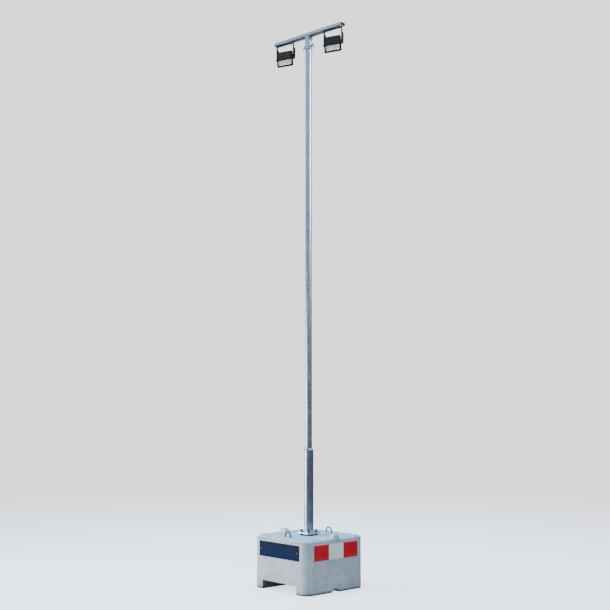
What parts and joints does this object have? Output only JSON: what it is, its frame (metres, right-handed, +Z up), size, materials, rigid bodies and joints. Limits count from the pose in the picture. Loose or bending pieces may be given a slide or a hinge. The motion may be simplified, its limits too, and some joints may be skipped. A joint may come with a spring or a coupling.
{
  "type": "mobile floodlight mast",
  "caption": "Stepped galvanised tube mast with a crossbar carrying turning and tilting floodlights, standing on a rounded precast concrete ballast block with a fork slot.",
  "frame": {"origin": "middle of the block's underside, on the floor under the mast axis", "axes": "+Z up along the mast, X along the crossbar, -Y to the front of the block and of the floodlights"},
  "size_m": [1.15, 0.907, 6.442],
  "materials": {
    "concrete": "matte",
    "navy_board": "satin",
    "red_white_board": "satin",
    "bar_steel": "matte",
    "galvanised_steel": "satin",
    "zinc_steel": "satin",
    "black_strip": "satin",
    "lamp_casting": "matte",
    "lamp_panel": "satin",
    "reflector_metal": "polished",
    "light_chip": "satin",
    "lamp_glass": "gloss"
  },
  "bodies": {
    "base": {"ballast_block": "concrete", "front_sign": "navy_board", "sign_screw_left": "zinc_steel", "sign_screw_right": "zinc_steel", "warning_board": "red_white_board", "warning_screw_front": "zinc_steel", "warning_screw_rear": "zinc_steel", "lifting_loop_front": "bar_steel", "lifting_loop_rear": "bar_steel", "base_plate": "galvanised_steel", "anchor_stud_1": "zinc_steel", "anchor_stud_2": "zinc_steel", "anchor_stud_3": "zinc_steel", "anchor_stud_4": "zinc_steel", "levelling_nut_1": "zinc_steel", "levelling_nut_2": "zinc_steel", "levelling_nut_3": "zinc_steel", "levelling_nut_4": "zinc_steel", "plate_nut_1": "zinc_steel", "plate_nut_2": "zinc_steel", "plate_nut_3": "zinc_steel", "plate_nut_4": "zinc_steel", "base_tube": "galvanised_steel", "shoulder_ring": "galvanised_steel", "mast_tube": "galvanised_steel"},
    "head": {"head_sleeve": "galvanised_steel", "gusset_left": "galvanised_steel", "gusset_right": "galvanised_steel", "crossbar": "galvanised_steel", "clamp_screw_left": "zinc_steel", "clamp_screw_right": "zinc_steel", "left_yoke_bolt": "zinc_steel", "right_yoke_bolt": "zinc_steel"},
    "left_bracket": {"left_yoke": "black_strip"},
    "left_lamp": {"left_housing": "lamp_casting", "left_frame": "lamp_casting", "left_panel": "lamp_panel", "left_reflector": "reflector_metal", "left_chips": "light_chip", "left_glass": "lamp_glass", "left_pivot_outer": "zinc_steel", "left_pivot_inner": "zinc_steel"},
    "right_bracket": {"right_yoke": "black_strip"},
    "right_lamp": {"right_housing": "lamp_casting", "right_frame": "lamp_casting", "right_panel": "lamp_panel", "right_reflector": "reflector_metal", "right_chips": "light_chip", "right_glass": "lamp_glass", "right_pivot_outer": "zinc_steel", "right_pivot_inner": "zinc_steel"}
  },
  "joints": [
    {"name": "head_swivel", "type": "hinge", "parent": "base", "child": "head", "pos_m": [0, 0, 6.32], "axis": [0, 0, 1], "continuous": true},
    {"name": "left_yoke_swivel", "type": "hinge", "parent": "head", "child": "left_bracket", "pos_m": [-0.415, 0, 6.4], "axis": [0, 0, 1], "range_deg": [-60, 60]},
    {"name": "left_lamp_tilt", "type": "hinge", "parent": "left_bracket", "child": "left_lamp", "pos_m": [-0.415, 0, 6.219], "axis": [0.9613, 0.2756, 0], "range_deg": [-75, 75]},
    {"name": "right_yoke_swivel", "type": "hinge", "parent": "head", "child": "right_bracket", "pos_m": [0.415, 0, 6.4], "axis": [0, 0, 1], "range_deg": [-60, 60]},
    {"name": "right_lamp_tilt", "type": "hinge", "parent": "right_bracket", "child": "right_lamp", "pos_m": [0.415, 0, 6.219], "axis": [0.9613, 0.2756, 0], "range_deg": [-75, 75]}
  ]
}
